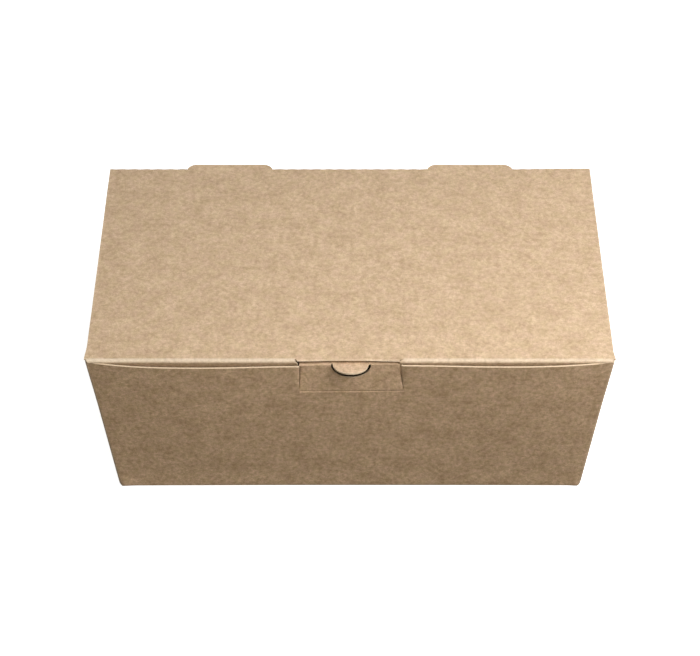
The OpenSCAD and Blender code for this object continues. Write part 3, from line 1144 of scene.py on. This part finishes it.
def tongue_crease():
    """The scored crease at the tongue's foot, from the front wall up to the strip."""
    sheet = Sheet()
    columns = stations([0, 1], 0.02)

    def where(share, row):
        low = crease_z - crease_strip
        x_wall = mix(opening_l, opening_r, share)
        x_strip = mix(-TONGUE_LEFT, TONGUE_RIGHT, share)
        y_wall = -front_y(low) - top_bow(x_wall * lid_half / (lid_half - 1)) * low / wall_top
        bottom = Vector((x_wall, y_wall, low))
        top = strip_point(x_strip, crease_strip)[0]
        place = bottom.lerp(top, row)
        off = (GROOVE_AT - row) / GROOVE_BELOW if row < GROOVE_AT else (row - GROOVE_AT) / GROOVE_ABOVE
        place.y += GROOVE * max(1 - off, 0)
        # painted shade along the groove
        painted_shade_level = GROOVE_PAINTED_SHADE if GROOVE_SHADE_ROWS[0] <= row <= GROOVE_SHADE_ROWS[1] else 0.0
        return place, (place.x, blank_crease + crease_strip * (1 - 2 * row)), painted_shade_level

    rows = [0, 0.2, 0.3, 0.35, 0.4, 0.45, 0.5, 0.55, 0.6, 0.66, 0.72, 0.86, 1]
    sheet.grid(columns, rows, where)
    return sheet.solid("tongue_crease")


# Build the pieces and set the tray, the glue flaps, the lid and the tongue each on its body; the creases
# stay where they are built. HINGE_BEND gives an end point for each rear crease that nothing reads.

HINGE_BEND = 0.95

tray = dress(tray_shell(), "tray_board")
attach(tray, "tray")
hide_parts("tray")

for side, side_name in ((-1, "left"), (1, "right")):
    for end, end_name in ((-1, "front"), (1, "rear")):
        flap = glue_flap(side, end, f"glue_flap_{end_name}_{side_name}")
        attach(dress(flap, "tray_board"), "tray")

lid = dress(lid_sheet(), "lid_board")
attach(lid, "lid")
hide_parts("lid")
tab_in, tab_out = TAB_X - TAB_W / 2, TAB_X + TAB_W / 2
for name, x0, x1 in (
    ("hinge_crease_left", -lid_half, -tab_out),
    ("hinge_crease_middle", -tab_in, tab_in),
    ("hinge_crease_right", tab_out, lid_half),
):
    strip = dress(hinge_strip(x0, x1, name), "lid_board")
    end = (0, (hinge_y - HINGE_BEND) * MM, box_h * MM)
    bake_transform(strip)

tongue = dress(tongue_sheet(), "tongue_board")
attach(tongue, "tongue")
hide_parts("tongue")
crease = dress(tongue_crease(), "tongue_board")
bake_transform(crease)

# Floor, light and camera

FLOOR_GLOW = 0.78
LIGHT_AIM = 0.04

# The sky's colours from below to above, and its brightness on the left and on the right
SKY = [(0.0, (0.13, 0.12, 0.10)), (0.5, (0.22, 0.21, 0.18)), (1.0, (0.39, 0.39, 0.39))]
SKY_LEFT = 0.55
SKY_RIGHT = 1.45

# The photograph's camera, in millimetres and pixels
CAMERA_PITCH = math.radians(41.25)
CAMERA_AXIAL = 640.9
FOCAL_PX = 2264.0
PHOTO_W, PHOTO_H = 700, 656
FRONT_EDGE_PX = 360.9
BOX_MIDDLE_PX = 349.9


def floor():
    """A pale floor that glows a little, so that it is white without lighting the box."""
    bpy.ops.mesh.primitive_plane_add(size=8)
    plane = bpy.context.object
    plane.name = "floor"
    material = bpy.data.materials.new("pale_floor")
    material.use_nodes = True
    shader = material.node_tree.nodes["Principled BSDF"]
    shader.inputs["Base Color"].default_value = (0.93, 0.93, 0.93, 1)
    shader.inputs["Roughness"].default_value = 0.9
    shader.inputs["Specular IOR Level"].default_value = 0.0
    shader.inputs["Emission Color"].default_value = (1, 1, 1, 1)
    shader.inputs["Emission Strength"].default_value = FLOOR_GLOW
    plane.data.materials.append(material)
    plane.visible_diffuse = False
    plane.visible_glossy = False


def softbox(name, azimuth, elevation, distance, size, power, colour):
    """An area light that faces the box. Azimuth 0 is in front of it and 90 is on its right."""
    a, e = math.radians(azimuth), math.radians(elevation)
    way = Vector((math.sin(a) * math.cos(e), -math.cos(a) * math.cos(e), math.sin(e)))
    light = bpy.data.lights.new(name, "AREA")
    light.shape = "RECTANGLE"
    light.size, light.size_y = size
    light.energy = power
    light.color = colour
    lamp = bpy.data.objects.new(name, light)
    lamp.location = Vector((0, 0, LIGHT_AIM)) + way * distance
    lamp.rotation_euler = (-way).to_track_quat("-Z", "Y").to_euler()
    bpy.context.scene.collection.objects.link(lamp)


def surroundings():
    """A soft sky, darker below and on the left."""
    world = bpy.data.worlds.new("studio")
    bpy.context.scene.world = world
    world.use_nodes = True
    graph = Graph(world.node_tree)
    way = graph.node("SeparateXYZ", {0: graph.node("TexCoord", {}).outputs["Generated"]})
    sky = graph.ramp(graph.spread(way.outputs["Z"], -1.0, 1.0, 0.0, 1.0), SKY)
    side = graph.spread(way.outputs["X"], -1.0, 1.0, SKY_LEFT, SKY_RIGHT)
    background = graph.nodes["Background"].inputs
    graph.links.new(graph.mixed("MULTIPLY", 1.0, sky, side), background["Color"])
    background["Strength"].default_value = 1.0


def camera():
    """Level across, dipped by the pitch, and at a set depth from the lid's front edge."""
    forward = Vector((0, math.cos(CAMERA_PITCH), -math.sin(CAMERA_PITCH)))
    up = Vector((0, math.sin(CAMERA_PITCH), math.cos(CAMERA_PITCH)))
    below = (FRONT_EDGE_PX - PHOTO_H / 2) / FOCAL_PX * CAMERA_AXIAL
    right = (PHOTO_W / 2 - BOX_MIDDLE_PX) / FOCAL_PX * CAMERA_AXIAL
    place = Vector((right, -hinge_y, box_h)) - forward * CAMERA_AXIAL + up * below
    data = bpy.data.cameras.new("camera")
    data.sensor_width = 36
    data.lens = FOCAL_PX / PHOTO_W * data.sensor_width
    data.clip_start = 0.01
    eye = bpy.data.objects.new("camera", data)
    eye.location = place * MM
    eye.rotation_euler = (math.pi / 2 - CAMERA_PITCH, 0, 0)
    bpy.context.scene.collection.objects.link(eye)
    bpy.context.scene.camera = eye


floor()
surroundings()
softbox("key", azimuth=55, elevation=52, distance=0.38, size=(0.24, 0.24), power=1.5,
        colour=(1.0, 0.995, 0.98))
softbox("fill", azimuth=-8, elevation=35, distance=0.5, size=(0.4, 0.25), power=0.55,
        colour=(1.0, 0.955, 0.80))
camera()
bpy.context.scene.view_settings.view_transform = "Standard"
bpy.context.scene.view_settings.look = "None"
